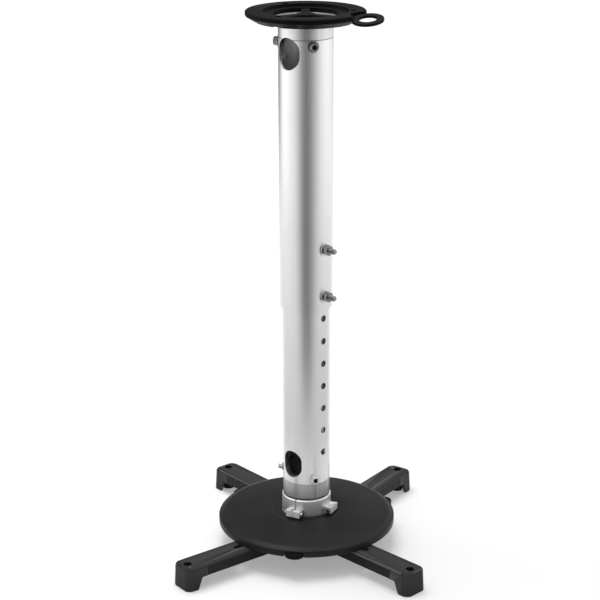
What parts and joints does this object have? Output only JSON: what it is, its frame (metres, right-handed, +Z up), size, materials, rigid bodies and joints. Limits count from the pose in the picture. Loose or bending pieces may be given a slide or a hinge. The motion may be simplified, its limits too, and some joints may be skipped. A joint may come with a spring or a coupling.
{
  "type": "projector ceiling mount",
  "caption": "Ceiling mount with a round plate, telescoping bolted tubes, a clamped swivel, a round cover and adjustable arms with hollow feet that screw to a projector.",
  "frame": {"origin": "centre of the ceiling plate's top face, on the axis of the column", "axes": "+Z up into the ceiling along the column; -Y towards the viewer of the picture, +X to the viewer's right"},
  "size_m": [0.2575, 0.2837, 0.5763],
  "materials": {
    "black_plate": "satin black powder coat",
    "collar_cast": "fine blasted cast aluminium",
    "tube": "satin anodised, drawn along its length",
    "zinc": "bright zinc",
    "clamp_cast": "turned and blasted cast aluminium",
    "cover_black": "semi-matt black powder coat",
    "arm_black": "semi-matt black powder coat over a casting"
  },
  "bodies": {
    "ceiling_part": {"ceiling_plate": "black_plate", "safety_eye": "black_plate", "upper_collar": "collar_cast", "collar_flange_screws": "zinc", "outer_tube": "tube", "upper_tube_screws": "zinc", "upper_tube_washers": "zinc", "upper_height_bolt": "zinc", "lower_height_bolt": "zinc", "height_nuts": "zinc", "height_washers": "zinc"},
    "lower_mast": {"inner_tube": "tube", "lower_collar": "collar_cast", "lower_tube_screws": "zinc", "lower_tube_washers": "zinc"},
    "base": {"clamp_segment_left": "clamp_cast", "clamp_segment_right": "clamp_cast", "clamp_segment_back": "clamp_cast", "clamp_screws": "zinc", "clamp_nuts": "zinc", "swivel_hub": "clamp_cast", "hub_screws": "zinc", "arm_plate": "arm_black", "cover_dish": "cover_black"},
    "nut_front_left": {"slot_nut_front_left": "zinc"},
    "bolt_front_left": {"arm_bolt_front_left": "zinc", "arm_washer_front_left": "zinc"},
    "arm_front_left": {"arm_front_left": "arm_black"},
    "nut_front_right": {"slot_nut_front_right": "zinc"},
    "bolt_front_right": {"arm_bolt_front_right": "zinc", "arm_washer_front_right": "zinc"},
    "arm_front_right": {"arm_front_right": "arm_black"},
    "nut_back_right": {"slot_nut_back_right": "zinc"},
    "bolt_back_right": {"arm_bolt_back_right": "zinc", "arm_washer_back_right": "zinc"},
    "arm_back_right": {"arm_back_right": "arm_black"},
    "nut_back_left": {"slot_nut_back_left": "zinc"},
    "bolt_back_left": {"arm_bolt_back_left": "zinc", "arm_washer_back_left": "zinc"},
    "arm_back_left": {"arm_back_left": "arm_black"}
  },
  "joints": [
    {"name": "height_slide", "type": "slide", "parent": "ceiling_part", "child": "lower_mast", "axis": [0, 0, 1], "range_m": [0, 0.15]},
    {"name": "base_swivel", "type": "hinge", "parent": "lower_mast", "child": "base", "pos_m": [0, 0, -0.528], "axis": [0, 0, 1], "continuous": true},
    {"name": "bolt_shift_front_left", "type": "hinge", "parent": "base", "child": "nut_front_left", "pos_m": [0, 0, -0.5462], "axis": [0, 0, 1], "range_deg": [-30, 20]},
    {"name": "arm_swing_front_left", "type": "hinge", "parent": "nut_front_left", "child": "bolt_front_left", "pos_m": [-0.0422, -0.04542, -0.5462], "axis": [0, 0, 1], "range_deg": [-20, 20]},
    {"name": "arm_slide_front_left", "type": "slide", "parent": "bolt_front_left", "child": "arm_front_left", "axis": [-0.7912, -0.6115, 0], "range_m": [-0.0397, 0.0043]},
    {"name": "bolt_shift_front_right", "type": "hinge", "parent": "base", "child": "nut_front_right", "pos_m": [0, 0, -0.5462], "axis": [0, 0, 1], "range_deg": [-29, 30]},
    {"name": "arm_swing_front_right", "type": "hinge", "parent": "nut_front_right", "child": "bolt_front_right", "pos_m": [0.03679, -0.0499, -0.5462], "axis": [0, 0, 1], "range_deg": [-20, 20]},
    {"name": "arm_slide_front_right", "type": "slide", "parent": "bolt_front_right", "child": "arm_front_right", "axis": [-0.7071, 0.7071, 0], "range_m": [-0.0081, 0.0359]},
    {"name": "bolt_shift_back_right", "type": "hinge", "parent": "base", "child": "nut_back_right", "pos_m": [0, 0, -0.5462], "axis": [0, 0, 1], "range_deg": [-5, 10]},
    {"name": "arm_swing_back_right", "type": "hinge", "parent": "nut_back_right", "child": "bolt_back_right", "pos_m": [0.04452, 0.04315, -0.5462], "axis": [0, 0, 1], "range_deg": [-20, 20]},
    {"name": "arm_slide_back_right", "type": "slide", "parent": "bolt_back_right", "child": "arm_back_right", "axis": [0.5807, 0.8141, 0], "range_m": [-0.0425, 0.0015]},
    {"name": "bolt_shift_back_left", "type": "hinge", "parent": "base", "child": "nut_back_left", "pos_m": [0, 0, -0.5462], "axis": [0, 0, 1], "range_deg": [-15, 12]},
    {"name": "arm_swing_back_left", "type": "hinge", "parent": "nut_back_left", "child": "bolt_back_left", "pos_m": [-0.02312, 0.05753, -0.5462], "axis": [0, 0, 1], "range_deg": [-20, 20]},
    {"name": "arm_slide_back_left", "type": "slide", "parent": "bolt_back_left", "child": "arm_back_left", "axis": [0.6561, -0.7547, 0], "range_m": [-0.0026, 0.0414]}
  ]
}
